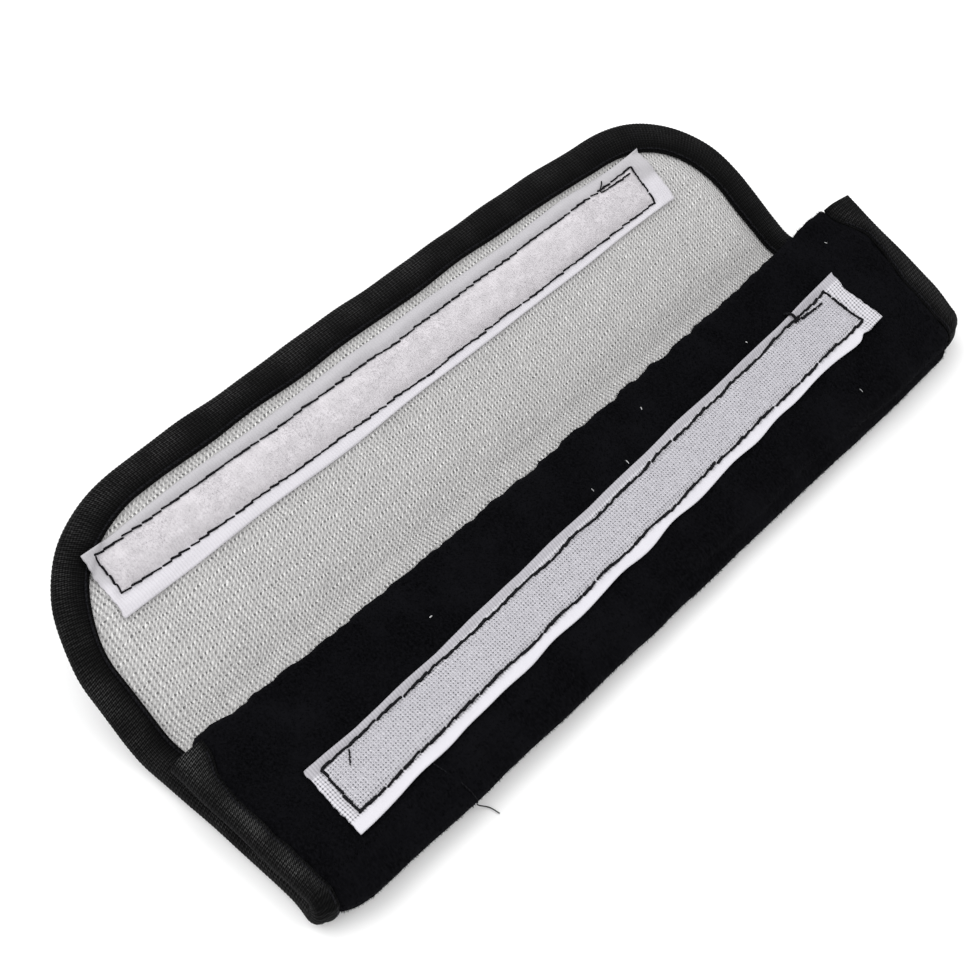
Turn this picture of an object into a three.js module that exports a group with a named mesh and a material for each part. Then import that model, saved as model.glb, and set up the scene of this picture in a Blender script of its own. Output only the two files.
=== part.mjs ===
// A soft wrap pad for a car seat belt, lying open on a table.
//
// It is one padded sheet in three panels. The middle panel lies flat, the flap is folded back
// over it along one long edge, and the outer panel leans up beyond a crease. The belt runs in
// the slot under the flap, and the outer panel closes over the flap, loops on hooks.
//
// Each layer is first laid out flat and then folded by place(). In the flat layout x runs along
// the pad, s runs across it from the fold to the far edge (and is below zero on the flap), and n
// is the height over the middle of the pad, positive on the lining's side. In the folded pad +Y
// goes from the fold to the far edge and +Z is up. Sizes are in millimetres, angles in degrees.

import * as THREE from 'three';

// The three panels
const padLength = 260;
const middleWidth = 58.6;
const outerWidth = 63;
const flapWidth = 47.3;
const cornerRadius = 41;

// How the panels are folded
const foldRadius = 3.65;
const creaseRadius = 12;
const outerTilt = 31.9;
const flapRiseLeft = 5.4;
const flapRiseRight = 21.7;
const flapSpread = 2;
const foldPullLeft = 0.6;
const foldPullRight = 2.4;
const foldPullReach = 22;

// The pressed line along the fold, as shares of the way round it from the table to the flap
const grooveDepth = 1.6;
const groovePlaceLeft = 0.79;
const groovePlaceRight = 0.5;
const grooveShare = 0.13;

// The three layers, loose between the seams and pressed together inside the binding
const plushThickness = 1.5;
const foamThickness = 3.3;
const liningThickness = 0.6;
const pressedPlush = 0.7;
const pressedFoam = 0.7;
const pressedLining = 0.4;
const layerGap = 0.3;
const pressedRoll = 6;

// The binding tape round the three sewn sides
const tapeThickness = 0.8;
const tapeWidth = 10.7;
const tapeBulge = 0.6;
const seamInset = 1.6;
const seamThread = 0.35;

// The two fastening strips and the thread that sews them on
const loopLength = 212;
const loopWidth = 19.5;
const loopThickness = 1.4;
const loopFromEdge = 22.4;
const loopShift = -4.9;
const loopTurn = 0.2;
const hookLength = 215;
const hookWidth = 19.8;
const hookThickness = 1.2;
const hookFromEdge = 29.4;
const hookShift = -3.9;
const hookTurn = 2.5;
const stitchFromSide = 3.3;
const stitchFromEnd = 5;
const stitchThread = 0.7;

// How finely the curves are drawn
const flapSteps = 2;
const middleSteps = 2;
const creaseSteps = 4;
const cornerSteps = 7;
const lengthSteps = 6;
const stripSteps = 8;
const roundSteps = 6;

// Sizes that follow from those above
const degree = Math.PI / 180;
const halfLength = padLength / 2;
const padThickness = plushThickness + foamThickness + liningThickness + 2 * layerGap;
const pressedThickness = pressedPlush + pressedFoam + pressedLining + 2 * layerGap;
const tapeMiddle = pressedThickness / 2 + layerGap + tapeThickness / 2;
const tapeOutside = tapeMiddle + tapeThickness / 2;
const creaseStart = middleWidth - creaseRadius * Math.tan(outerTilt * degree / 2);
const creaseEnd = creaseStart + creaseRadius * outerTilt * degree;
const farEdge = creaseEnd + outerWidth - creaseRadius * Math.tan(outerTilt * degree / 2);
const cornerStart = farEdge - cornerRadius;

// The slope of the flap, which is twisted: it stands higher at its right end.
function flapRise(x) {
  const share = (x + halfLength) / padLength;
  return (flapRiseLeft + (flapRiseRight - flapRiseLeft) * share) * degree;
}

function foldSweep(x) {
  return Math.PI - flapRise(x);
}

function cutEdge(x) {
  return -(foldRadius * foldSweep(x) + flapWidth);
}

// How far the fold draws the pad's end in.
function drawnIn(x, s) {
  const away = (s + foldRadius * Math.PI / 2) / foldPullReach;
  const pull = x < 0 ? foldPullLeft : foldPullRight;
  return pull * Math.max(1 - away * away, 0) ** 2;
}

// A point of the folded pad, from its place in the flat layout.
function place(flatX, s, n) {
  const middle = padThickness / 2;
  const x = flatX * (1 - drawnIn(flatX, s) / halfLength);
  if (s > creaseStart) {
    const turn = Math.min((s - creaseStart) / creaseRadius, outerTilt * degree);
    const beyond = Math.max(s - creaseEnd, 0);
    const y = creaseStart + (creaseRadius - n) * Math.sin(turn) + beyond * Math.cos(turn);
    const z = middle + creaseRadius - (creaseRadius - n) * Math.cos(turn) + beyond * Math.sin(turn);
    return new THREE.Vector3(x, y, z);
  }
  if (s >= 0) {
    return new THREE.Vector3(x, s, middle + n);
  }
  const turn = Math.min(-s / foldRadius, foldSweep(x));
  const beyond = Math.max(-s - foldRadius * foldSweep(x), 0);
  const spread = flapSpread * Math.max(x / halfLength, 0) * Math.min(beyond / flapWidth, 1);
  const y = -(foldRadius - n) * Math.sin(turn) - beyond * Math.cos(turn);
  const z = middle + foldRadius - (foldRadius - n) * Math.cos(turn) + beyond * Math.sin(turn);
  return new THREE.Vector3(x + spread, y, z);
}

// The rows of the layout at one x, from the cut edge to where the round corners start.
// Each row says where it crosses and how much of the pressed line's depth it has.
function crossingRows(x) {
  const rows = [];
  const sweep = foldSweep(x);
  const foldEnd = -foldRadius * sweep;
  for (let i = 0; i < flapSteps; i += 1) {
    rows.push({ s: cutEdge(x) + flapWidth * i / flapSteps, groove: 0 });
  }
  const share = (x + halfLength) / padLength;
  const groove = groovePlaceLeft + (groovePlaceRight - groovePlaceLeft) * share;
  const above = groove + grooveShare;
  const below = groove - grooveShare;
  const foldShares = [1, (1 + above) / 2, above, groove, below, below * 2 / 3, below / 3];
  for (const part of foldShares) {
    rows.push({ s: foldEnd * part, groove: part === groove ? grooveDepth : 0 });
  }
  for (let i = 0; i < middleSteps; i += 1) {
    rows.push({ s: creaseStart * i / middleSteps, groove: 0 });
  }
  for (let i = 0; i < creaseSteps; i += 1) {
    rows.push({ s: creaseStart + (creaseEnd - creaseStart) * i / creaseSteps, groove: 0 });
  }
  rows.push({ s: creaseEnd, groove: 0 });
  return rows;
}

const straightRows = crossingRows(0).length;
const sideRows = straightRows + cornerSteps;
const outlineCount = 2 * sideRows + lengthSteps;

// One point of the outline of the three sewn sides, drawn in by an inset: up the left side,
// round the corner, along the far edge and down the right side.
function outlinePoint(index, inset) {
  if (index > outlineCount / 2) {
    const mirror = outlinePoint(outlineCount - index, inset);
    const twin = crossingRows(-mirror.x)[outlineCount - index];
    return { x: -mirror.x, s: twin ? twin.s : mirror.s, groove: mirror.groove };
  }
  if (index < straightRows) {
    const x = inset - halfLength;
    const row = crossingRows(x)[index];
    return { x, s: row.s, groove: row.groove };
  }
  const radius = cornerRadius - inset;
  if (index <= sideRows) {
    const turn = (index - straightRows) / cornerSteps * Math.PI / 2;
    const x = cornerRadius - halfLength - radius * Math.cos(turn);
    return { x, s: cornerStart + radius * Math.sin(turn), groove: 0 };
  }
  const share = (index - sideRows) / lengthSteps;
  const reach = halfLength - cornerRadius;
  return { x: reach * (2 * share - 1), s: farEdge - inset, groove: 0 };
}

// How far a layer has risen, from 0 inside the binding to 1 where the pad has its full thickness.
function fullness(inset) {
  return THREE.MathUtils.smoothstep(inset, tapeWidth, tapeWidth + pressedRoll);
}

// The layout's points: rings round the three sewn sides, then rows across what they enclose.
function layoutSites() {
  const insets = [tapeOutside, tapeWidth];
  for (const share of [0.3, 0.65, 1]) {
    insets.push(tapeWidth + pressedRoll * share);
  }
  const sites = [];
  const rings = insets.map((inset) => {
    const ring = [];
    for (let k = 0; k <= outlineCount; k += 1) {
      ring.push(sites.length);
      sites.push({ ...outlinePoint(k, inset), full: fullness(inset) });
    }
    return ring;
  });
  const inner = rings[rings.length - 1];
  const rows = [];
  for (let i = 0; i < sideRows; i += 1) {
    const left = sites[inner[i]];
    const right = sites[inner[outlineCount - i]];
    const row = [inner[i]];
    for (let c = 1; c < lengthSteps; c += 1) {
      const share = c / lengthSteps;
      row.push(sites.length);
      sites.push({
        x: left.x + (right.x - left.x) * share,
        s: left.s + (right.s - left.s) * share,
        groove: left.groove,
        full: 1,
      });
    }
    row.push(inner[outlineCount - i]);
    rows.push(row);
  }
  rows.push(inner.slice(sideRows, sideRows + lengthSteps + 1));
  return { sites, rings, rows };
}

const layout = layoutSites();

// Joins a grid of site numbers into quads that face the lining's side.
function gridQuads(grid) {
  const quads = [];
  for (let i = 0; i + 1 < grid.length; i += 1) {
    for (let c = 0; c + 1 < grid[i].length; c += 1) {
      quads.push([grid[i][c], grid[i][c + 1], grid[i + 1][c + 1], grid[i + 1][c]]);
    }
  }
  return quads;
}

// A closed mesh from points and quads.
function quadMesh(points, quads) {
  const positions = points.flatMap((point) => [point.x, point.y, point.z]);
  const index = quads.flatMap(([a, b, c, d]) => [a, b, c, a, c, d]);
  const geometry = new THREE.BufferGeometry();
  geometry.setAttribute('position', new THREE.Float32BufferAttribute(positions, 3));
  geometry.setIndex(index);
  geometry.computeVertexNormals();
  return geometry;
}

// A layer of the pad between two heights, each a function of a site.
function layerGeometry(low, high) {
  const { sites, rings, rows } = layout;
  const count = sites.length;
  const top = gridQuads(rows);
  for (let j = 0; j + 1 < rings.length; j += 1) {
    for (let k = 0; k < outlineCount; k += 1) {
      top.push([rings[j][k], rings[j + 1][k], rings[j + 1][k + 1], rings[j][k + 1]]);
    }
  }
  const leftEnds = rings.map((ring) => ring[0]);
  const rightEnds = rings.map((ring) => ring[outlineCount]);
  const cutRow = [...leftEnds, ...rows[0].slice(1, -1), ...rightEnds.reverse()];
  const border = [...rings[0]].reverse().concat(cutRow.slice(1));
  const quads = [...top];
  for (const [a, b, c, d] of top) {
    quads.push([a + count, d + count, c + count, b + count]);
  }
  for (let i = 0; i + 1 < border.length; i += 1) {
    quads.push([border[i] + count, border[i + 1] + count, border[i + 1], border[i]]);
  }
  const points = [high, low].flatMap((height) => (
    sites.map((site) => place(site.x, site.s, height(site)))
  ));
  return quadMesh(points, quads);
}

function mix(pressed, loose, site) {
  return pressed + (loose - pressed) * site.full;
}

// The plush's outer face, which the pressed line dents along the fold.
function plushOutside(site) {
  return -mix(pressedThickness, padThickness, site) / 2 + site.groove * site.full;
}

function plushInside(site) {
  return plushOutside(site) + mix(pressedPlush, plushThickness, site);
}

function liningOutside(site) {
  return mix(pressedThickness, padThickness, site) / 2;
}

function liningInside(site) {
  return liningOutside(site) - mix(pressedLining, liningThickness, site);
}

function plushCover() {
  return layerGeometry(plushOutside, plushInside);
}

function foamCore() {
  return layerGeometry((site) => plushInside(site) + layerGap, (site) => liningInside(site) - layerGap);
}

function knitLining() {
  return layerGeometry(liningInside, liningOutside);
}

// A closed strip of material swept round the sewn sides. Its section is a list of pairs of
// outer and inner points, each an inset and a height.
function sweptGeometry(section) {
  const around = [...section.map((pair) => pair[0]), ...section.map((pair) => pair[1]).reverse()];
  const width = around.length;
  const points = [];
  for (let k = 0; k <= outlineCount; k += 1) {
    for (const [inset, n] of around) {
      const site = outlinePoint(k, inset);
      points.push(place(site.x, site.s, n));
    }
  }
  const quads = [];
  for (let k = 0; k < outlineCount; k += 1) {
    for (let m = 0; m < width; m += 1) {
      const next = (m + 1) % width;
      const here = k * width;
      const ahead = here + width;
      quads.push([here + m, ahead + m, ahead + next, here + next]);
    }
  }
  const last = outlineCount * width;
  for (let m = 0; m + 1 < section.length; m += 1) {
    const across = width - 1 - m;
    quads.push([m, m + 1, across - 1, across]);
    quads.push([last + m + 1, last + m, last + across, last + across - 1]);
  }
  return quadMesh(points, quads);
}

// The binding's section: flat under its seam, a little swollen, and round at the edge.
function edgeBinding() {
  const half = tapeThickness / 2;
  const flatPart = [
    [tapeWidth, 0],
    [tapeWidth - 2 * seamInset, 0],
    [tapeWidth / 2, tapeBulge],
    [tapeOutside, 0],
  ];
  const upper = flatPart.map(([inset, rise]) => [
    [inset, tapeMiddle + rise + half],
    [inset, tapeMiddle + rise - half],
  ]);
  const roll = [];
  for (let i = 1; i < roundSteps; i += 1) {
    const turn = Math.PI * i / roundSteps;
    roll.push([tapeMiddle + half, tapeMiddle - half].map((radius) => (
      [tapeOutside - radius * Math.sin(turn), radius * Math.cos(turn)]
    )));
  }
  const lower = [...upper].reverse().map((pair) => pair.map(([inset, n]) => [inset, -n]));
  return sweptGeometry([...upper, ...roll, ...lower]);
}

// The seam's thread, along the binding's inner edge on one face.
function bindingSeam(side) {
  const middle = side * (tapeOutside + layerGap + seamThread / 2);
  const half = seamThread / 2;
  const inset = tapeWidth - seamInset;
  return sweptGeometry([
    [[inset + half, middle + half], [inset + half, middle - half]],
    [[inset - half, middle + half], [inset - half, middle - half]],
  ]);
}

// A strip of tape lying on one face of the pad. The panel gives s from x and the distance in
// from the panel's own edge, and low and high are the strip's two heights.
function stripGeometry(strip, low, high) {
  const across = [-strip.width / 2, 0, strip.width / 2];
  const points = [];
  for (const n of [high, low]) {
    for (const v of across) {
      for (let i = 0; i <= stripSteps; i += 1) {
        points.push(stripPoint(strip, strip.length * (i / stripSteps - 0.5), v, n));
      }
    }
  }
  const row = stripSteps + 1;
  const count = row * across.length;
  const grid = across.map((v, j) => Array.from({ length: row }, (unused, i) => j * row + i));
  const top = gridQuads(grid);
  const quads = [...top];
  for (const [a, b, c, d] of top) {
    quads.push([a + count, d + count, c + count, b + count]);
  }
  const border = [
    ...grid[0],
    ...grid.slice(1, -1).map((line) => line[stripSteps]),
    ...[...grid[grid.length - 1]].reverse(),
    ...grid.slice(1, -1).map((line) => line[0]),
    grid[0][0],
  ];
  for (let i = 0; i + 1 < border.length; i += 1) {
    quads.push([border[i] + count, border[i + 1] + count, border[i + 1], border[i]]);
  }
  return quadMesh(points, quads);
}

// A point of a strip, u along it and v across it towards the fold-free side of its panel.
function stripPoint(strip, u, v, n) {
  const turn = strip.turn * degree;
  const x = strip.shift + u * Math.cos(turn) - v * strip.sense * Math.sin(turn);
  const inward = strip.fromEdge - strip.sense * (u * Math.sin(turn)) - v * strip.sense * Math.cos(turn);
  return place(x, strip.panel(x, inward), n);
}

const loopStrip = {
  length: loopLength,
  width: loopWidth,
  fromEdge: loopFromEdge,
  shift: loopShift,
  turn: loopTurn,
  sense: 1,
  panel: (x, inward) => farEdge - inward,
};

const hookStrip = {
  length: hookLength,
  width: hookWidth,
  fromEdge: hookFromEdge,
  shift: hookShift,
  turn: -hookTurn,
  sense: -1,
  panel: (x, inward) => cutEdge(x) + inward,
};

// The ring of thread that sews a strip down, lying on the strip.
function stitchGeometry(strip, low, high) {
  const half = stitchThread / 2;
  const endU = strip.length / 2 - stitchFromEnd;
  const sideV = strip.width / 2 - stitchFromSide;
  const path = [];
  for (let i = 0; i <= stripSteps; i += 1) {
    path.push([2 * i / stripSteps - 1, -1]);
  }
  for (let i = 0; i <= stripSteps; i += 1) {
    path.push([1 - 2 * i / stripSteps, 1]);
  }
  const points = [];
  for (const [alongSign, sideSign] of path) {
    const end = Math.abs(alongSign) === 1 ? half : 0;
    for (const [grow, n] of [[1, high], [-1, high], [-1, low], [1, low]]) {
      const u = alongSign * (endU + grow * end);
      const v = sideSign * (sideV + grow * half);
      points.push(stripPoint(strip, u, v, n));
    }
  }
  const quads = [];
  for (let k = 0; k < path.length; k += 1) {
    const ahead = (k + 1) % path.length;
    for (let m = 0; m < 4; m += 1) {
      const next = (m + 1) % 4;
      quads.push([k * 4 + next, k * 4 + m, ahead * 4 + m, ahead * 4 + next]);
    }
  }
  return quadMesh(points, quads);
}

// The heights of what lies on the two faces of the loose pad
const loopLow = padThickness / 2 + layerGap;
const loopHigh = loopLow + loopThickness;
const hookHigh = -padThickness / 2 - layerGap;
const hookLow = hookHigh - hookThickness;

function fabric(colour, roughness) {
  return new THREE.MeshStandardMaterial({ color: colour, roughness, metalness: 0 });
}

const group = new THREE.Group();

function addPart(name, geometry, material) {
  const mesh = new THREE.Mesh(geometry, material);
  mesh.name = name;
  group.add(mesh);
}

addPart('plush_cover', plushCover(), fabric(0x06060c, 0.95));
addPart('foam_core', foamCore(), fabric(0xe6e2d2, 0.9));
addPart('knit_lining', knitLining(), fabric(0xc6c6c0, 0.9));
addPart('edge_binding', edgeBinding(), fabric(0x121212, 0.75));
addPart('binding_seam_lining_side', bindingSeam(1), fabric(0x0a0a0a, 0.7));
addPart('binding_seam_plush_side', bindingSeam(-1), fabric(0x0a0a0a, 0.7));
addPart('loop_strip', stripGeometry(loopStrip, loopLow, loopHigh), fabric(0xe0dee4, 0.95));
addPart('hook_strip', stripGeometry(hookStrip, hookLow, hookHigh), fabric(0xd6d6dc, 0.6));
addPart(
  'loop_strip_stitching',
  stitchGeometry(loopStrip, loopHigh + layerGap, loopHigh + layerGap + stitchThread),
  fabric(0x0c0c0e, 0.7),
);
addPart(
  'hook_strip_stitching',
  stitchGeometry(hookStrip, hookLow - layerGap - stitchThread, hookLow - layerGap),
  fabric(0x0c0c0e, 0.7),
);

// The part's origin is the middle of the ground that it covers.
const extent = new THREE.Box3().setFromObject(group);
const centre = extent.getCenter(new THREE.Vector3());
group.position.set(-centre.x, -centre.y, -extent.min.z);

export default group;
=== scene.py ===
import math
from dataclasses import dataclass
from functools import partial

import bpy
import numpy as np
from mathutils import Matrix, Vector


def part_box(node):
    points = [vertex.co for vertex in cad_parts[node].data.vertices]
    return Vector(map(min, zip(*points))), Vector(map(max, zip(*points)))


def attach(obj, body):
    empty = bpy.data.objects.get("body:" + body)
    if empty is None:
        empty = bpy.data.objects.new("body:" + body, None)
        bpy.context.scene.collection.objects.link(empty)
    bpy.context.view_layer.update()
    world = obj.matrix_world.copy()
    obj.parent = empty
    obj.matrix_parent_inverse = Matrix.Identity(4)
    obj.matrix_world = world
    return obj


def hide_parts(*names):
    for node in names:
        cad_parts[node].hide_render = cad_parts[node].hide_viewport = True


# The looks of a soft wrap pad for a car seat belt, lying open on a pale floor.
#
# Each layer is laid out flat and then folded by place(). In the flat layout x runs along the pad,
# s runs across it from the fold to the far edge (below zero on the flap), and n is the height over
# the middle of the pad, positive on the lining's side. Sizes are in millimetres and degrees until
# row() turns them into metres in the model's frame.

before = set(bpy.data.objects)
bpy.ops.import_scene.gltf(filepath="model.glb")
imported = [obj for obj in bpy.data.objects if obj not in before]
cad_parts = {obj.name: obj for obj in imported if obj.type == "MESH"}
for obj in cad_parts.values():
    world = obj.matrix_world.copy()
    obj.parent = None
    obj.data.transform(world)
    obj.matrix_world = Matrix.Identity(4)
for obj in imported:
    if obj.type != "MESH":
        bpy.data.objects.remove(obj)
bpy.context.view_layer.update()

MM = 0.001
DEGREE = math.pi / 180

# The three panels
PAD_LENGTH = 260
MIDDLE_WIDTH = 58.6
OUTER_WIDTH = 63
FLAP_WIDTH = 47.3
CORNER_RADIUS = 41

# How the panels are folded
FOLD_RADIUS = 3.65
CREASE_RADIUS = 12
OUTER_TILT = 31.9
FLAP_RISE_LEFT = 5.4
FLAP_RISE_RIGHT = 21.7
FLAP_SPREAD = 2.3
FOLD_PULL_RIGHT = 1.1
FOLD_PULL_REACH = 12
FOLD_PUSH = 0.5
FOLD_PUSH_REACH = 9
FLAP_DROOP = 1.1

# The fold's tips are tucked back. The left one is pushed out, and the right one is lifted.
TIP_PUSH = 1.3
TIP_TUCK_LEFT = 2.6
TIP_TUCK_RIGHT = 3
TIP_LIFT = 1
TIP_REACH = 7

# The pressed line along the fold: how far round the fold it runs, and its depth
GROOVE_ANGLE_LEFT = 138
GROOVE_ANGLE_RIGHT = 77
GROOVE_BEND = 2.2
GROOVE_DEPTH = 1.5
GROOVE_REACH = 1.1

# The flap's raw edge: how far its middle is bowed in, and how ragged it is
CUT_BOW = 2.3
CUT_BOW_CENTRE = -8
CUT_BOW_REACH = 104
CUT_BOW_POWER = 2.6
CUT_RAGGED = 0.26
CUT_UNDER_TAPE = 2.5
RAW_CORNER_LEFT = 121.8
RAW_CORNER_RIGHT = 119
CORNER_TUFT = 1.6

# The layers, loose between the seams and pressed together inside the binding
PLUSH_THICKNESS = 1.5
LINING_THICKNESS = 0.6
PAD_THICKNESS = 6
PRESSED_THICKNESS = 2.4
PRESSED_PLUSH = 0.7
PRESSED_LINING = 0.4
LAYER_GAP = 0.08
FOAM_LEAST = 0.3
PRESSED_ROLL = 6
PLUSH_ROLL = 3.6

# The binding tape
TAPE_WIDTH = 10.7
TAPE_THICKNESS = 0.5
TAPE_EDGE = 2.3
TAPE_TOP = 2
TAPE_BULGE = 0.75
TAPE_RIB_PITCH = 1.05
TAPE_RIB_HEIGHT = 0.05
TAPE_SEAM_INSET = 1
TAPE_SEAM_DIP = 0.15
TAPE_END_SLANT = -1
TAPE_SWELL = 1.1

# The sewing: the stitches, the thread's radius, and how deep it pulls the faces in
STITCH_LENGTH = 2.9
STITCH_GAP = 0.1
STITCH_PITCH = STITCH_LENGTH + STITCH_GAP
THREAD_RADIUS = 0.26
HOOK_THREAD_FULLER = 1.35
SEWN_DIP = 0.6
SEWN_REACH = 1.3

# The knit's columns and rows, the ribs of the loop strip, and the weave of the hook strip
KNIT_COLUMN = 1.26
KNIT_ROW = 1.18
NAP_RIB_PITCH = 0.885
WEAVE_PITCH = 0.85

# How finely things are made: the grids of the layers and strips, and the fibres tried for each pile
CLOTH_STEP = 1.4
FOAM_STEP = 3
STRIP_ROWS = 30
STRIP_COLUMNS = 340
FLAP_FIBRES = 62000
OUTER_FIBRES = 20000
EDGE_FIBRES = 2600
LOOP_FIBRES = 30000

HALF_LENGTH = PAD_LENGTH / 2
HALF_THICKNESS = PAD_THICKNESS / 2
CREASE_START = MIDDLE_WIDTH - CREASE_RADIUS * math.tan(OUTER_TILT * DEGREE / 2)
CREASE_END = CREASE_START + CREASE_RADIUS * OUTER_TILT * DEGREE
FAR_EDGE = CREASE_END + OUTER_WIDTH - CREASE_RADIUS * math.tan(OUTER_TILT * DEGREE / 2)
CORNER_START = FAR_EDGE - CORNER_RADIUS


# Small fields over the flat layout

def ramp(value, low, high):
    share = np.clip((value - low) / (high - low), 0, 1)
    return share * share * (3 - 2 * share)


def hump(value, middle, reach):
    """A smooth hump of height one."""
    return np.exp(-(((value - middle) / reach) ** 2))


def humps(value, *parts):
    """A sum of smooth humps, each given by its height, middle and reach."""
    return sum(height * hump(value, middle, reach) for height, middle, reach in parts)


def between(low, high, share):
    return low + (high - low) * share


def unit(vectors):
    return vectors / np.linalg.norm(vectors, axis=-1, keepdims=True)


def waves(x, s, length, seed, count=9):
    """A smooth random field, mostly between -1 and 1, whose bumps are about length apart."""
    random = np.random.default_rng(seed)
    total = 0
    for _ in range(count):
        heading, phase = random.uniform(0, 2 * math.pi, 2)
        turns = 2 * math.pi / (length * random.uniform(0.7, 1.5))
        total = total + np.sin((x * math.cos(heading) + s * math.sin(heading)) * turns + phase)
    return total / math.sqrt(count)


# The fold

def share_along(x):
    return (x + HALF_LENGTH) / PAD_LENGTH


def fold_sweep(x):
    """How far round the fold the flap is turned."""
    return math.pi - between(FLAP_RISE_LEFT, FLAP_RISE_RIGHT, share_along(x)) * DEGREE


def cut_edge(x):
    """The flap's free edge as a straight line, from which its strip is measured."""
    return -(FOLD_RADIUS * fold_sweep(x) + FLAP_WIDTH)


def cut_line(x):
    """The flap's free edge as it was cut: bowed in, ragged, and short inside the binding."""
    bow = CUT_BOW * (1 - (np.abs(x - CUT_BOW_CENTRE) / CUT_BOW_REACH) ** CUT_BOW_POWER)
    ragged = CUT_RAGGED * (waves(x, 0, 7, 11) + 0.8 * waves(x, 0, 3, 12))
    bound = ramp(x - RAW_CORNER_RIGHT, 0, 1.4) + ramp(-x - RAW_CORNER_LEFT, 0, 1.4)
    tuft = CORNER_TUFT * hump(x, 2 - RAW_CORNER_LEFT, 7)
    return cut_edge(x) + (bow + ragged - tuft) * (1 - bound) + CUT_UNDER_TAPE * bound


def drawn_in(x, s):
    """How far the pad's ends are drawn in. Below zero they are pushed out."""
    pull = FOLD_PULL_RIGHT * np.maximum(1 - ((s + 9) / FOLD_PULL_REACH) ** 2, 0) ** 2
    right = pull - humps(s, (0.8, 98, 12), (0.45, 3, 7))
    left = humps(s, (0.8, 93, 12), (-0.3, 64, 12), (0.35, 33, 12), (-TIP_PUSH, -3, TIP_REACH))
    return np.where(x < 0, left, right)


def far_reach(x):
    """How far the outer panel's edge lies beyond its straight line."""
    return humps(x, (0.4, -20, 12), (-0.3, -52, 12), (-0.8, -99, 16), (-1.8, 90, 18))


def fold_push(x):
    """How far the fold's front stands out, with a few fuller places along it."""
    fuller = humps(x, (0.4, 2, 7), (0.35, -18, 14), (0.7, -52, 12), (0.55, -84, 16), (0.7, 90, 18))
    return FOLD_PUSH + fuller


def sway(x, s):
    """How far the loose panels wave up and down, and how far the flap's left end sinks."""
    on_flap = ramp(cut_edge(x) - s, -FLAP_WIDTH * 0.9, 0)
    on_outer = ramp(s, CREASE_END, FAR_EDGE)
    droop = FLAP_DROOP * ramp(-x, 108, 126) * ramp(-s, 8, 16)
    return (0.35 * on_flap + 0.3 * on_outer) * waves(x, s, 85, 21) + droop


def bend_round(radius, turn, beyond, n):
    """How far and how high a sheet reaches that bends round a radius and then runs straight."""
    arm = radius - n
    return arm * np.sin(turn) + beyond * np.cos(turn), radius - arm * np.cos(turn) + beyond * np.sin(turn)


def fold(flat_x, s, n):
    """A place of the flat layout in the folded pad, as an array of points."""
    x = flat_x * (1 - drawn_in(flat_x, s) / HALF_LENGTH)
    turn = np.clip((s - CREASE_START) / CREASE_RADIUS, 0, OUTER_TILT * DEGREE)
    beyond = np.maximum(s - CREASE_END, 0)
    beyond = beyond + far_reach(x) * (beyond / OUTER_WIDTH) ** 3
    outer_y, outer_z = bend_round(CREASE_RADIUS, turn, beyond, n)
    sweep = fold_sweep(x)
    beyond = np.maximum(-s - FOLD_RADIUS * sweep, 0)
    spread = FLAP_SPREAD * np.maximum(x / HALF_LENGTH, 0) * np.minimum(beyond / FLAP_WIDTH, 1)
    flap_y, flap_z = bend_round(FOLD_RADIUS, np.clip(-s / FOLD_RADIUS, 0, sweep), beyond, n)
    y = np.where(s >= 0, np.minimum(s, CREASE_START) + outer_y, -flap_y)
    z = np.where(s >= 0, outer_z, flap_z) + HALF_THICKNESS
    left_tip, right_tip = ramp(-x, 116, HALF_LENGTH), ramp(x, 116, HALF_LENGTH)
    tuck = TIP_TUCK_LEFT * left_tip + TIP_TUCK_RIGHT * right_tip
    y = y + tuck * hump(s, -5, TIP_REACH) - fold_push(x) * hump(s, -6, FOLD_PUSH_REACH)
    z = z + TIP_LIFT * right_tip * hump(s, -1, TIP_REACH)
    return np.stack(np.broadcast_arrays(x + spread, y, z), axis=-1)


def place(x, s, n):
    return fold(x, s, n + sway(x, s))


def inset_of(x, s):
    """How far in from the sewn edges a place lies."""
    side, far = HALF_LENGTH - np.abs(x), FAR_EDGE - s
    in_corner = (side < CORNER_RADIUS) & (far < CORNER_RADIUS)
    corner = CORNER_RADIUS - np.hypot(CORNER_RADIUS - side, CORNER_RADIUS - far)
    return np.where(in_corner, corner, np.minimum(side, far))


# The two fastening strips

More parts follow.
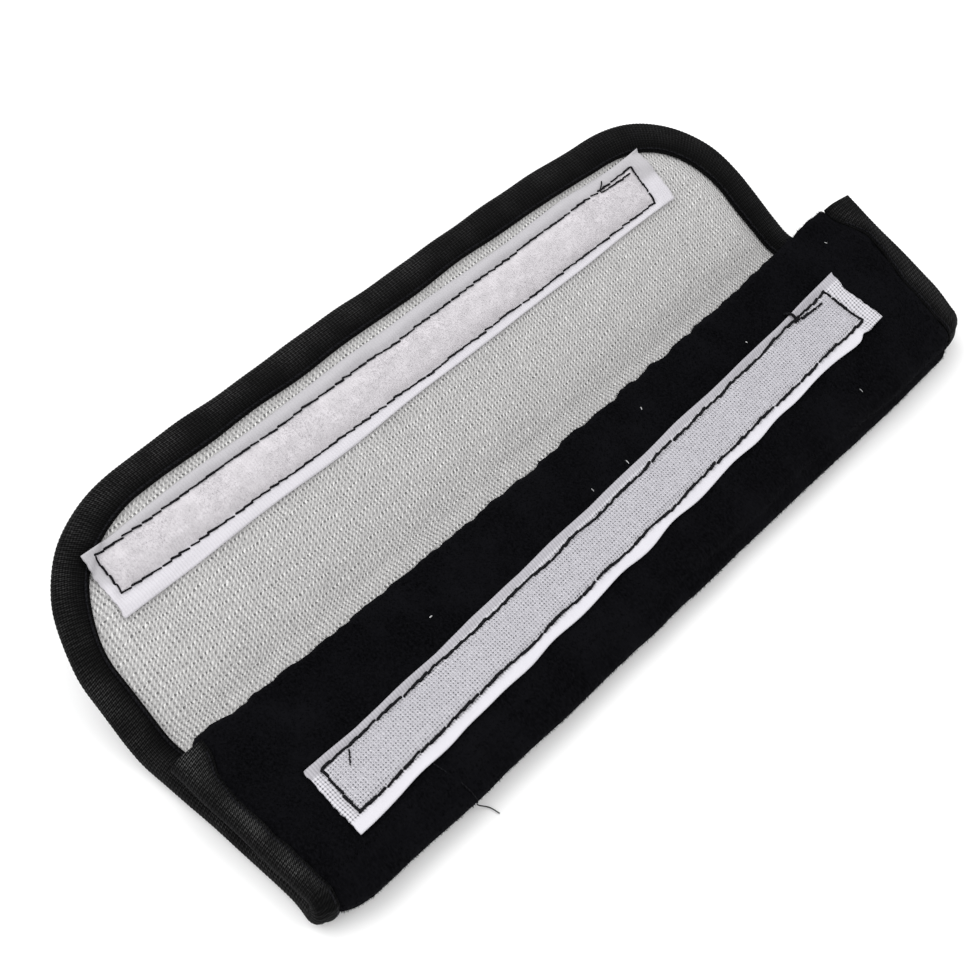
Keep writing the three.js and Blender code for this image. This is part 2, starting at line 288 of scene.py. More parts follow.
@dataclass
class Strip:
    """A sewn-on strip, with u along it and v across it from its middle.

    sense is 1 on the lining and -1 on the plush. curls are the end, the side and the rise of each
    corner that curls up.
    """

    length: float
    width: float
    from_edge: float
    shift: float
    turn: float
    sense: int
    seam: list
    second_run: list
    seam_bow: float
    seam_pinch: float
    curls: list

    def layout(self, u, v):
        """The place in the layout of a place on the strip."""
        across = self.sense * math.sin(self.turn)
        x = self.shift + u * math.cos(self.turn) - v * across
        inward = self.from_edge - u * across - v * self.sense * math.cos(self.turn)
        s = FAR_EDGE - inward if self.sense > 0 else cut_edge(x) + inward
        return x, s

    def own(self, x, s):
        """The strip's own u and v of a place in the layout."""
        along, across = math.cos(self.turn), self.sense * math.sin(self.turn)
        right = x - self.shift
        up = self.from_edge - (FAR_EDGE - s if self.sense > 0 else s - cut_edge(x))
        scale = along * along * self.sense + across * across
        u = (right * along * self.sense + up * across) / scale
        v = (up * along - right * across) / scale
        return u, v

    def seam_bend(self, u):
        """How far the seam is bowed along v at each u, and how much narrower it is there."""
        middle = 1 - (2 * u / self.length) ** 2
        return self.seam_bow * middle, 1 - self.seam_pinch * middle

    def seam_depth(self, u, v):
        """How far inside the sewn ring a place lies, below zero outside it."""
        bow, narrow = self.seam_bend(u)
        v = (v - bow) / narrow
        nearest, inside = np.inf, True
        for (u0, v0), (u1, v1) in zip(self.seam, self.seam[1:] + self.seam[:1]):
            du, dv = u1 - u0, v1 - v0
            share = np.clip(((u - u0) * du + (v - v0) * dv) / (du * du + dv * dv), 0, 1)
            nearest = np.minimum(nearest, np.hypot(u - u0 - share * du, v - v0 - share * dv))
            inside = inside & (du * (v - v0) - dv * (u - u0) < 0)
        return np.where(inside, nearest, -nearest)

    def dip(self, x, s):
        """How deep the sewing pulls the pad's faces in round the strip's seam."""
        u, v = self.own(x, s)
        pucker = 1 + 0.25 * np.cos(2 * math.pi * (u + v) / STITCH_PITCH)
        return SEWN_DIP * pucker * hump(self.seam_depth(u, v), 0, SEWN_REACH)


LOOP = Strip(
    length=212, width=19.5, from_edge=22.4, shift=-4.9, turn=0.2 * DEGREE, sense=1,
    seam=[(-103.4, 7.5), (100.6, 6.4), (99.8, -6.8), (-104.1, -4)],
    second_run=[(98.7, 4.8), (86.2, 5.4)], seam_bow=-1.45, seam_pinch=0,
    curls=[(-1, 1, 1.6), (1, 1, 1.9), (1, -1, 0.5)],
)
HOOK = Strip(
    length=215, width=19.8, from_edge=29.4, shift=-3.9, turn=-2.5 * DEGREE, sense=-1,
    seam=[(-104.1, 5.9), (102.9, 6.6), (100.6, -7.6), (-103.5, -7.7)],
    second_run=[(96.7, -5.6), (85.5, -6.6)], seam_bow=0.85, seam_pinch=0.12,
    curls=[(-1, 1, 0.6), (1, -1, 0.9), (1, 1, 0.8), (-1, -1, 0.4)],
)


# The heights of the pad's two faces over its middle

def tape_reach(x, s, side):
    """How far in the binding's free edge lies, on the lining's side (1) or the plush side (-1)."""
    right = ramp(x, 20, 120)
    left = ramp(-x, 95, HALF_LENGTH)
    if side > 0:
        return 9.4 + 1.4 * right - 0.8 * left + 0.2 * waves(x, s, 30, 32)
    from_cut = s - cut_edge(x)
    ends = ramp(np.abs(x), 105, 118) * ramp(-s, -12, 0)
    deepest = np.where(x < 0, 4.3, 1.6 + 2.4 * ramp(from_cut, 34, 14))
    overlapped = deepest * ramp(from_cut, 2, 14) * ends
    corner = 0.9 * right * ramp(from_cut, 9, 1)
    return 9.9 + 0.6 * right - overlapped + corner + 0.3 * waves(x, s, 9, 30)


def rolled(x, s, side):
    """How full the pad is, from nought at the binding's edge to one, and half its thickness."""
    start = tape_reach(x, s, side)
    inset = inset_of(x, s)
    if side > 0:
        full = ramp(inset, start, start + PRESSED_ROLL)
    else:
        full = 0.45 * ramp(inset, start, start + PLUSH_ROLL)
        full = full + 0.55 * ramp(inset, start - 1.2, start + 0.5)
    return full, between(PRESSED_THICKNESS, PAD_THICKNESS, full) / 2


def cloth_thickness(x, s, side):
    """The thickness of the lining (1) or the plush (-1), pressed thin inside the binding."""
    full, _ = rolled(x, s, side)
    if side > 0:
        return between(PRESSED_LINING, LINING_THICKNESS, full)
    return between(PRESSED_PLUSH, PLUSH_THICKNESS, full)


def lining_height(x, s):
    full, height = rolled(x, s, 1)
    rumple = 0.16 * waves(x, s, 16, 41) + 0.1 * waves(x, s, 6, 42)
    radial = 0.12 * waves(x * 2.5, s, 14, 43) * (1 - full)
    bent = CREASE_START + 3 + 0.8 * waves(x, 0, 55, 44)
    crease = humps(s, (0.16, bent, 1.1), (0.1, bent + 5, 1.4))
    sewn = LOOP.dip(x, s) + HOOK.dip(x, s) * 0.6
    return height + full * (rumple * 0.6 - crease - sewn) + radial


def groove_line(x):
    """Where the pressed line along the fold runs."""
    angle = between(GROOVE_ANGLE_LEFT, GROOVE_ANGLE_RIGHT, share_along(x) ** GROOVE_BEND)
    return -FOLD_RADIUS * (angle * DEGREE + 0.06 * waves(x, 0, 60, 51))


def plush_height(x, s):
    full, height = rolled(x, s, -1)
    away = (s - groove_line(x)) / GROOVE_REACH
    groove = GROOVE_DEPTH * hump(away, 0, 1) - 0.35 * hump(np.abs(away), 2.6, 1)
    rumple = 0.3 * waves(x, s, 26, 61) + 0.14 * waves(x, s, 9, 62)
    loose = ramp(-s, 2, 9) * 0.9 + ramp(s, CREASE_START, CREASE_END) * 0.6
    rounded = 0.9 * ramp(cut_line(x) - s, -3, 0) ** 2
    sewn = HOOK.dip(x, s) + LOOP.dip(x, s) * 0.7
    return height + full * (rumple * loose - groove - sewn * 0.8) - rounded


# The grid of the flat layout that the pad's layers share

def crossing_rows(x, step):
    """Where the layout's rows cross at each x, from the cut edge to where the round corners start."""
    fold_end = -FOLD_RADIUS * fold_sweep(x)
    ends = [cut_line(x), fold_end]
    ends += [0 * x + end for end in (0, CREASE_START, CREASE_END, CORNER_START)]
    lengths = [FLAP_WIDTH, FOLD_RADIUS * math.pi * 1.8, CREASE_START, 1.5 * (CREASE_END - CREASE_START),
               CORNER_START - CREASE_END]
    rows = []
    for start, end, length in zip(ends, ends[1:], lengths):
        rows.append(np.linspace(start, end, max(round(length / step), 2), endpoint=False))
    return np.concatenate(rows)


class Grid:
    """Rings of places round the sewn edges, then rows across what they enclose."""

    def __init__(self, step):
        insets = np.arange(TAPE_EDGE, TAPE_WIDTH + PRESSED_ROLL + step, step)
        corner_rows = round(CORNER_RADIUS * math.pi / 2 / step)
        columns = round((PAD_LENGTH - 2 * insets[-1]) / step)
        turns = np.linspace(0, math.pi / 2, corner_rows, endpoint=False)
        far_x = np.linspace(CORNER_RADIUS - HALF_LENGTH, HALF_LENGTH - CORNER_RADIUS, columns + 1)
        radius = CORNER_RADIUS - insets
        left_s = crossing_rows(insets - HALF_LENGTH, step)
        right_s = crossing_rows(HALF_LENGTH - insets, step)
        corner_x = CORNER_RADIUS - HALF_LENGTH - radius * np.cos(turns)[:, None]
        corner_s = CORNER_START + radius * np.sin(turns)[:, None]
        side_x = np.vstack([0 * left_s + insets - HALF_LENGTH, corner_x])
        far_x = np.repeat(far_x[:, None], len(insets), axis=1)
        far_s = 0 * far_x + FAR_EDGE - insets
        ring_x = np.vstack([side_x, far_x, -side_x[::-1]]).T
        ring_s = np.vstack([left_s, corner_s, far_s, corner_s[::-1], right_s[::-1]]).T
        side_rows = len(side_x)
        share = np.linspace(0, 1, columns + 1)[1:-1]
        inner_x = ring_x[-1, :side_rows, None] * (1 - 2 * share)
        inner_s = np.repeat(ring_s[-1, :side_rows, None], columns - 1, axis=1)
        inner_s[:len(left_s)] = crossing_rows(inner_x[0], step)
        self.x = np.concatenate([ring_x.ravel(), inner_x.ravel()])
        self.s = np.concatenate([ring_s.ravel(), inner_s.ravel()])
        rings = np.arange(ring_x.size).reshape(ring_x.shape)
        inner = ring_x.size + np.arange(inner_x.size).reshape(inner_x.shape)
        first, last = rings[-1, :side_rows, None], rings[-1, ::-1][:side_rows, None]
        far = rings[-1, side_rows:side_rows + columns + 1]
        rows = np.vstack([np.hstack([first, inner, last]), far])
        self.quads = np.vstack([grid_quads(rows), grid_quads(rings.T)])
        cut_row = np.concatenate([rings[:, 0], rows[0, 1:-1], rings[::-1, -1]])
        self.border = np.concatenate([rings[0][::-1], cut_row[1:]])


def grid_quads(grid):
    """The quads of a grid of point numbers, as rows of four."""
    corners = [grid[:-1, :-1], grid[:-1, 1:], grid[1:, 1:], grid[1:, :-1]]
    return np.stack([corner.ravel() for corner in corners], axis=1)


def closed_layer(x, s, quads, border, low, high):
    """Points and faces of a sheet of material between two heights over the middle."""
    x, s, low, high = (part.ravel() for part in (x, s, low, high))
    points = np.concatenate([place(x, s, high), place(x, s, low)])
    under = quads[:, [0, 3, 2, 1]] + len(x)
    wall = np.stack([border[:-1] + len(x), border[1:] + len(x), border[1:], border[:-1]], axis=1)
    return points, np.vstack([quads, under, wall])


# Pieces

SOLID_STRIP_LIFT = 0.3
SOLID_STRIP_THICKNESS = 1.4


def row_shift():
    """What moves the folded layout into the model's frame, by the solid loop strip's low corner."""
    end, side = np.mgrid[-1:2:2, -1:2:2].reshape(2, -1)
    x, s = LOOP.layout(end * LOOP.length / 2, side * LOOP.width / 2)
    low = HALF_THICKNESS + SOLID_STRIP_LIFT
    corners = np.vstack([fold(x, s, low), fold(x, s, low + SOLID_STRIP_THICKNESS)])
    return np.array(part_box("loop_strip")[0]) / MM - corners.min(axis=0)


SHIFT = row_shift()


def row(points):
    """Millimetres of the folded layout as metres in the model's frame."""
    return (points + SHIFT) * MM


def add_object(name, data):
    thing = bpy.data.objects.new(name, data)
    bpy.context.scene.collection.objects.link(thing)
    return thing


def add_piece(name, points, groups, material, pattern, replaces=(), smooth=True):
    """A mesh piece of the pad. groups are arrays of faces, and pattern is what the material reads."""
    mesh = bpy.data.meshes.new(name)
    faces = [face for group in groups for face in group.tolist()]
    mesh.from_pydata(row(points.reshape(-1, 3)).tolist(), [], faces)
    mesh.update()
    mesh.polygons.foreach_set("use_smooth", np.full(len(faces), smooth))
    layer = mesh.attributes.new("pattern", "FLOAT_VECTOR", "POINT")
    layer.data.foreach_set("vector", np.asarray(pattern, dtype=np.float32).ravel())
    mesh.materials.append(material)
    piece = add_object(name, mesh)
    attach(piece, "root")
    if replaces:
        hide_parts(*replaces)
    return piece


def add_tubes(name, paths, ups, radii, material, sides=6, replaces=()):
    """Closed tubes along many paths of as many points each. ups point away from what they lie on."""
    count, steps = paths.shape[:2]
    ahead = unit(np.gradient(paths, axis=1))
    sideways = unit(np.cross(ahead, ups))
    lift = np.cross(sideways, ahead)
    angles = np.arange(sides)[:, None] * 2 * math.pi / sides
    ring = sideways[:, :, None] * np.cos(angles) + lift[:, :, None] * np.sin(angles)
    points = paths[:, :, None] + ring * np.broadcast_to(radii, (count, steps))[:, :, None, None]
    here = np.arange(count * steps * sides).reshape(count, steps, sides)
    beside = np.roll(here, -1, axis=2)
    wall = np.stack([here[:, :-1], beside[:, :-1], beside[:, 1:], here[:, 1:]], axis=-1).reshape(-1, 4)
    caps = np.concatenate([here[:, 0, ::-1], here[:, -1]])
    lengths = np.linalg.norm(np.diff(paths, axis=1), axis=2).sum(axis=1)
    pattern = np.zeros(points.shape)
    pattern[..., 0] = (lengths[:, None] * np.linspace(0, 1, steps))[:, :, None]
    pattern[..., 1] = np.arange(sides) / sides
    pattern[..., 2] = np.arange(count)[:, None, None]
    return add_piece(name, points, [wall, caps], material, pattern, replaces)


# Materials

GOLDEN_SHARE = 0.6180339


def sum_of(operation, swapped=False):
    """A method that works out one kind of sum, with another value or a number."""

    def method(self, other=0.0):
        pair = (other, self) if swapped else (self, other)
        return self.shader.math(operation, *pair)

    return method


class Value:
    """What a material works out at each place, so that its sums are written as they read."""

    __add__ = sum_of("ADD")
    __sub__ = sum_of("SUBTRACT")
    __rsub__ = sum_of("SUBTRACT", swapped=True)
    __mul__ = sum_of("MULTIPLY")
    __truediv__ = sum_of("DIVIDE")
    __abs__ = sum_of("ABSOLUTE")
    larger = sum_of("MAXIMUM")
    whole = sum_of("FLOOR")
    fraction = sum_of("FRACT")

    def __init__(self, shader, socket):
        self.shader = shader
        self.socket = socket

    def wave(self, pitch):
        """A cosine that repeats at a pitch."""
        return self.shader.math("COSINE", self * (2 * math.pi / pitch))

    def noise(self, scale, detail=3.0):
        inputs = {"Vector": self, "Scale": scale, "Detail": detail}
        return self.shader.node("ShaderNodeTexNoise", inputs)

    def spread(self, low, high, to_low=0.0, to_high=1.0):
        """A smooth step between two values while this one goes from low to high."""
        inputs = dict(enumerate((self, low, high, to_low, to_high)))
        return self.shader.node("ShaderNodeMapRange", inputs, interpolation_type="SMOOTHSTEP")

    def blend(self, first, second):
        """The first colour where this is nought, going over to the second where it is one."""
        return self.shader.node("ShaderNodeMix", {0: self, 6: first, 7: second}, 2, data_type="RGBA")


class Shader:
    """One material's nodes, added by short calls."""

    def __init__(self, name, roughness, specular=0.3):
        self.material = bpy.data.materials.new(name)
        self.material.use_nodes = True
        self.tree = self.material.node_tree
        self.surface = self.tree.nodes["Principled BSDF"].inputs
        self.set(self.surface["Roughness"], roughness)
        self.set(self.surface["Specular IOR Level"], specular)

    def set(self, socket, value):
        if isinstance(value, Value):
            self.tree.links.new(value.socket, socket)
        else:
            socket.default_value = value

    def node(self, kind, inputs, output=0, **settings):
        """What a new node gives. Its inputs and its output are named by number or by name."""
        node = self.tree.nodes.new(kind)
        for name, setting in settings.items():
            setattr(node, name, setting)
        for key, value in inputs.items():
            self.set(node.inputs[key], value)
        return Value(self, node.outputs[output])

    def math(self, operation, *values):
        return self.node("ShaderNodeMath", dict(enumerate(values)), operation=operation)

    def pattern(self):
        """The pattern that a piece's points carry, whole and as its three parts."""
        where = self.node("ShaderNodeAttribute", {}, "Vector", attribute_name="pattern")
        return where, *(self.node("ShaderNodeSeparateXYZ", {0: where}, part) for part in range(3))

    def finish(self, colour, height=None, depth=0.0, sheen=0.0, tint=(1, 1, 1, 1)):
        """The material, given its colour, its bumps and their depth in millimetres, and its sheen."""
        self.set(self.surface["Base Color"], colour)
        self.set(self.surface["Sheen Weight"], sheen)
        self.set(self.surface["Sheen Tint"], tint)
        if height is not None:
            inputs = {"Height": height, "Distance": depth * MM, "Strength": 1}
            self.set(self.surface["Normal"], self.node("ShaderNodeBump", inputs))
        return self.material


def dot(across, wide, along, tall):
    """One in the middle of an oval of these half sizes, falling to nought outside it."""
    across, along = across / wide, along / tall
    return (across * across + along * along).spread(1.6, 0.1)


def grey(level, blue=0.0, warm=0.0):
    return (level + warm, level, level + blue, 1)


def knit_material():
    """A fine mesh knit: leaning bright loops in columns, with small holes that vary from row to row."""
    shader = Shader("knit_lining", roughness=0.8)
    where, x, s, _ = shader.pattern()
    wander = where.noise(0.1) * 3
    jitter = where.noise(0.9) * 0.8
    rows = (s + wander - jitter) / KNIT_ROW
    across = ((x + wander + jitter) / KNIT_COLUMN).fraction() - 0.5
    along = rows.fraction() - 0.5
    strength = rows.whole().wave(3) * 0.2 + 0.75
    strength = strength * where.noise(0.9).spread(0.35, 0.65, 0.55, 1.15)
    loop = dot(across - along * 0.6, 0.24, along, 0.5)
    hole = dot(0.5 - abs(across), 0.24, along, 0.3) * strength
    tone = where.noise(0.06).blend(grey(0.37, 0.002, 0.006), grey(0.42, -0.006, 0.006))
    tone = (loop * strength).blend(tone, grey(0.73, -0.01, 0.005))
    height = loop * 0.5 - hole + where.noise(3.5) * 0.5
    return shader.finish(hole.blend(tone, grey(0.12)), height, 0.22, sheen=0.15)


def plush_material():
    """Short black pile: soft mottling where the nap lies this way or that."""
    shader = Shader("black_plush", roughness=0.95, specular=0.015)
    where, *_ = shader.pattern()
    nap = where.noise(0.06, 4.0).spread(0.35, 0.72)
    grain = where.noise(1.3, 4.0)
    deep = nap.blend(grey(0.0012, 0.0003), grey(0.004, 0.001))
    colour = grain.spread(0.3, 0.75).blend(deep, grey(0.0042, 0.001))
    return shader.finish(colour, nap * 0.8 + grain, 0.4, sheen=0.01, tint=grey(0.8, 0.15))


def binding_material():
    """Matt black ribbed tape: a fine slanting weave inside the ribs, with paler worn crowns. The crowns
    carry painted light on the plush side's leaf, and painted shade from the far edge's middle round to the
    right end.
    """
    shader = Shader("ribbed_tape", roughness=0.7, specular=0.03)
    where, along, around, _ = shader.pattern()
    rib = along.wave(TAPE_RIB_PITCH)
    slanting = (around * 0.25 + along).wave(TAPE_RIB_PITCH / 2)
    weave = around.wave(0.7) * 0.7 + slanting
    # Random wear, times painted shade that dims the pale crowns to half from the middle of the far edge on
    # round the right corner and the right end.
    wear_and_painted_shade = where.noise(0.09, 4.0).spread(0.3, 0.7, 0.3, 1.1) * along.spread(250, 400, 1, 0.5)
    crown = (rib * 0.6 + weave).spread(-0.8, 1.9)
    speck = where.noise(1.4, 2.0).spread(0.3, 0.7, 0.4, 1.3)
    in_fold = along.spread(40, 52) * along.spread(66, 56)
    # Painted light: the plush side's leaf gets paler crowns for the light it faces. This fades to painted
    # shadow at its free edge under the pile, and is left out where the tape goes round the fold at the left
    # end.
    plush_side_painted_light = around.spread(11, 15.5) * around.spread(22.5, 17.5) * (1 - in_fold)
    lining_side = around.spread(1, 7.5, 0.1, 1) * around.spread(13, 8)
    # pale is the crowns' colour: wear on the lining side, wear and painted light on the plush side.
    pale = lining_side.blend(grey(0.006), grey(0.042))
    pale = plush_side_painted_light.blend(pale, grey(0.078))
    colour = (crown * wear_and_painted_shade * speck).blend(grey(0.0015), pale)
    height = rib + weave + where.noise(3.0) * 0.8
    return shader.finish(colour, height, 0.055, sheen=0.02, tint=grey(0.8, 0.05))


def nap_material():
    """Soft white brushed loops with faint ribs across the strip, and smoother selvages."""
    shader = Shader("brushed_loops", roughness=0.9, specular=0.1)
    where, along, across, inside = shader.pattern()
    rib = along.wave(NAP_RIB_PITCH)
    cloud = where.noise(0.25, 5.0).spread(0.25, 0.8)
    nap = cloud.blend(grey(0.49, 0.02, 0.02), grey(0.585, 0.025, 0.025))
    selvage = across.spread(-2, 2).blend(grey(0.565, 0.035, 0.015), grey(0.43, 0.02, 0.01))
    tone = inside.spread(-0.2, 0.8).blend(selvage, nap)
    colour = rib.spread(-1, 0.6, 0.1, 0).blend(tone, grey(0.29, 0.02, 0.01))
    height = rib * 0.2 + where.noise(2.6, 5.0)
    return shader.finish(colour, height, 0.14, sheen=0.2, tint=(1, 0.98, 1, 1))


def hook_tape_material():
    """White woven tape: a square weave with pinholes, one ribbed selvage and one smooth one."""
    shader = Shader("woven_hook_tape", roughness=0.55, specular=0.2)
    where, along, across, _ = shader.pattern()
    warp = across.wave(WEAVE_PITCH)
    weft = along.wave(WEAVE_PITCH)
    uneven = where.noise(0.8).spread(0.3, 0.7, 0.45, 1.1)
    pinhole = (warp + weft).spread(-0.5, -1.6) * uneven
    groove = weft.spread(-0.1, -0.9, 0, 0.36).larger(warp.spread(-0.1, -0.9, 0, 0.28))
    smooth = across.spread(6.6, 7.3) * along.spread(102, 99)
    ribbed = across.spread(-6.9, -7.6)
    holes = pinhole.larger(groove) * (1 - smooth.larger(ribbed))
    dark = holes.larger(weft.spread(0.5, -0.9, 0, 0.28) * ribbed)
    light = where.noise(0.3).blend(grey(0.54, 0.035, 0.01), grey(0.62, 0.04, 0.01))
    light = ribbed.blend(light, grey(0.39, 0.03, 0.01))
    light = smooth.blend(light, grey(0.57, 0.04, 0.01))
    return shader.finish(dark.blend(light, grey(0.12, 0.01)), where.noise(2.4) * 0.4 - dark, 0.18)


def fibre_material(name, low, high, specular=0.15):
    """Loose fibres, each a little lighter or darker than the next."""
    shader = Shader(name, roughness=0.8, specular=specular)
    *_, number = shader.pattern()
    return shader.finish((number * GOLDEN_SHARE).fraction().blend(low, high))


def thread_material():
    """Black sewing thread with its plies running round it."""
    shader = Shader("black_thread", roughness=0.6, specular=0.08)
    _, along, around, _ = shader.pattern()
    ply = (along * 1.4 + around * 2).wave(1)
    return shader.finish(ply.spread(-1, 1).blend(grey(0.002, 0.001), grey(0.008, 0.002)), ply, 0.06)


def foam_material():
    """Open foam, seen only at the flap's raw edge."""
    shader = Shader("foam", roughness=0.9, specular=0.1)
    where, *_ = shader.pattern()
    cells = shader.node("ShaderNodeTexVoronoi", {"Vector": where, "Scale": 2.2}, "Distance")
    return shader.finish(cells.blend(grey(0.12, -0.005), grey(0.49, -0.04, 0.01)), cells, 0.3)


def floor_material():
    shader = Shader("pale_floor", roughness=0.7, specular=0.1)
    where = shader.node("ShaderNodeTexCoord", {}, "Object")
    return shader.finish(where.noise(3.0).blend(grey(0.92), grey(0.93)))


# The layers of the pad

def add_layer(name, grid, low, high, material, replaces):
    x, s = grid.x, grid.s
    points, faces = closed_layer(x, s, grid.quads, grid.border, low, high)
    pattern = np.stack([x, s, inset_of(x, s)], axis=1)
    return add_piece(name, points, [faces], material, [pattern, pattern], replaces)


def add_layers():
    """The two fabrics, and the foam between them."""
    grid = Grid(CLOTH_STEP)
    x, s = grid.x, grid.s
    low = -plush_height(x, s)
    high = low + cloth_thickness(x, s, -1)
    plush = add_layer("plush_cover_cloth", grid, low, high, plush_material(), ["plush_cover"])
    high = lining_height(x, s)
    low = high - cloth_thickness(x, s, 1)
    lining = add_layer("knit_lining_cloth", grid, low, high, knit_material(), ["knit_lining"])
    grid = Grid(FOAM_STEP)
    x, s = grid.x, grid.s
    high = lining_height(x, s) - cloth_thickness(x, s, 1) - LAYER_GAP
    low = cloth_thickness(x, s, -1) + LAYER_GAP - plush_height(x, s)
    high = np.maximum(high, low + FOAM_LEAST)
    foam = add_layer("foam_sheet", grid, low, high, foam_material(), ["foam_core"])


# The binding

def rim_course(spacing):
    """Stations along the sewn edges, with the way out there, and the length so far."""

    def course(centre_x, centre_s, out_x, out_s):
        columns = centre_x + CORNER_RADIUS * out_x, centre_s + CORNER_RADIUS * out_s, out_x, out_s
        return np.stack(np.broadcast_arrays(*columns), axis=1)

    arc = (CORNER_RADIUS - TAPE_WIDTH / 2) * math.pi / 2
    turns = np.linspace(0, math.pi / 2, round(arc / spacing), endpoint=False)
    centre = HALF_LENGTH - CORNER_RADIUS
    stations = np.vstack([
        course(-centre, np.arange(cut_edge(-HALF_LENGTH), CORNER_START, spacing), -1, 0),
        course(-centre, CORNER_START, -np.cos(turns), np.sin(turns)),
        course(np.arange(-centre, centre, spacing), CORNER_START, 0, 1),
        course(centre, CORNER_START, np.sin(turns), np.cos(turns)),
        course(centre, np.arange(CORNER_START, cut_edge(HALF_LENGTH), -spacing), 1, 0),
    ])
    return stations, np.arange(len(stations)) * spacing


def leaf_height(inset, reach, along, x, s):
    """The height of the tape's outer face over the middle, on either leaf."""
    share = np.clip((reach - inset) / (reach - TAPE_EDGE), 0, 1)
    bulge = TAPE_BULGE * np.sin(math.pi * share) ** 0.8
    stitch = 0.7 + 0.3 * np.cos(2 * math.pi * along / STITCH_PITCH)
    dip = TAPE_SEAM_DIP * stitch * hump(reach - inset, TAPE_SEAM_INSET, 0.8)
    selvage = 0.15 * ramp(share, 0.12, 0)
    puff = 0.14 * waves(x * 1.7, s * 1.7, 14, 71) * np.sin(math.pi * share)
    return TAPE_TOP + (TAPE_EDGE - TAPE_TOP) * share**3 + bulge + puff + selvage - dip


def bunching(s, reach):
    """How much the tape is gathered where it goes round the tight inside of the fold."""
    return hump(s, -FOLD_RADIUS * math.pi / 2, reach)


def add_binding():
    """The tape folded over the sewn edges: a leaf on each face, and a roll between them."""
    spacing = TAPE_RIB_PITCH / 4
    stations, along = rim_course(spacing)
    base_x, base_s, out_x, out_s = (column[:, None] for column in stations.T)
    along = along[:, None]
    rib = TAPE_RIB_HEIGHT * np.cos(2 * math.pi * along / TAPE_RIB_PITCH)
    swell = TAPE_SWELL * bunching(base_s, 13)

    def leaf(side, shares, thin):
        reach = tape_reach(base_x, base_s, side)
        inset = reach + (TAPE_EDGE - reach) * np.array(shares)
        x, s = base_x - inset * out_x, base_s - inset * out_s
        gathered = 0.2 * bunching(s, 7) * np.sin(2 * math.pi * along / 3.4 + 2 * inset / TAPE_WIDTH)
        height = leaf_height(inset, reach, along, x, s) + gathered + (0 if thin else rib)
        if side > 0:
            height = np.minimum(height + swell, FOLD_RADIUS - 0.1)
        return inset, side * (height - thin)

    def roll(turns, thin):
        turns = turns * math.pi
        puff = 0.12 * waves(base_x, base_s, 18, 72) * np.sin(turns)
        radius = TAPE_EDGE - thin + puff + (0 if thin else rib)
        height = (radius + swell * (turns < math.pi / 2)) * np.cos(turns)
        return TAPE_EDGE - radius * np.sin(turns), height

    fine = [0, 0.025, 0.06, 0.11, 0.16, 0.21, 0.26, 0.33, 0.45, 0.6, 0.75, 0.9]
    rough = [0, 0.4]
    thin = TAPE_THICKNESS
    outer = [leaf(1, fine, 0), roll(np.linspace(0, 1, 9), 0), leaf(-1, fine[::-1], 0)]
    inner = [leaf(-1, rough, thin), roll(np.linspace(1, 0, 5), thin), leaf(1, rough[::-1], thin)]
    inset, n = (np.hstack(parts) for parts in zip(*outer, *inner))
    slant = TAPE_END_SLANT * ramp(inset, 0, TAPE_WIDTH) * ramp(along[-1] - along, 8, 0)
    x, s = base_x - inset * out_x, base_s - inset * out_s + slant
    points = place(x, s, n)
    count, width = inset.shape
    numbers = np.arange(count * width).reshape(count, width)
    beside = np.roll(numbers, -1, axis=1)
    wall = np.stack([numbers[:-1], numbers[1:], beside[1:], beside[:-1]], axis=-1).reshape(-1, 4)
    cap = cap_faces(sum(part[0].shape[1] for part in outer), width)
    caps = np.vstack([numbers[0][cap], numbers[-1][cap[:, ::-1]]])
    pattern = np.zeros((count, width, 3))
    pattern[..., 0] = along
    steps = np.linalg.norm(np.diff(points[count // 2], axis=0), axis=1)
    pattern[..., 1] = np.concatenate([[0], np.cumsum(steps)])
    piece = add_piece("edge_binding_tape", points, [wall, caps], binding_material(),
                      pattern, ["edge_binding"])


def cap_faces(outer_count, width):
    """Triangles that close the tape's cut end between its outer and inner outline."""
    last_i, last_j = outer_count - 1, width - outer_count - 1
    faces = []
    i, j = 0, 0
    while i < last_i or j < last_j:
        if j >= last_j or (i < last_i and i * last_j <= j * last_i):
            faces.append((i, i + 1, width - 1 - j))
            i += 1
        else:
            faces.append((i, width - 2 - j, width - 1 - j))
            j += 1
    return np.array(faces)


# Sewing

def stitch_ends(corners, seed):
    """Where each stitch of a run starts and ends, along a line through some corners."""
    random = np.random.default_rng(seed)
    stitches = []
    for start, end in zip(np.array(corners), np.array(corners[1:])):
        length = math.dist(start, end)
        ahead = (end - start) / length
        aside = np.array([-ahead[1], ahead[0]])
        count = max(round(length / STITCH_PITCH), 1)
        step = length / count
        for i in range(count):
            at = i * step + random.normal(0, 0.12)
            reach = step - STITCH_GAP + random.normal(0, 0.15)
            off = random.normal([0.14, -0.14], 0.1)[:, None]
            stitches.append(start + np.outer([at, at + reach], ahead) + off * aside)
    return np.array(stitches)


STITCH_SHARES = np.array([0, 0.05, 0.14, 0.35, 0.65, 0.86, 0.95, 1])
STITCH_RISE = np.array([-0.3, -0.04, 0.1, 0.14, 0.14, 0.1, -0.04, -0.3])
STITCH_FULL = np.array([0.75, 1, 1.05, 0.95, 0.95, 1.05, 1, 0.75])


def add_stitches(name, x, s, height, side, replaces=(), radius=THREAD_RADIUS):
    """Stitches on one face of the pad, each of them one row of x, s and height."""
    n = height + radius * 0.6 + STITCH_RISE
    paths = place(x, s, side * n)
    ups = place(x, s, side * (n + 1)) - paths
    thread = bpy.data.materials["black_thread"]
    fullness = 1.1 + 0.2 * np.sin(1.7 * np.arange(len(x)))[:, None]
    return add_tubes(name, paths, ups, radius * fullness * STITCH_FULL, thread, replaces=replaces)


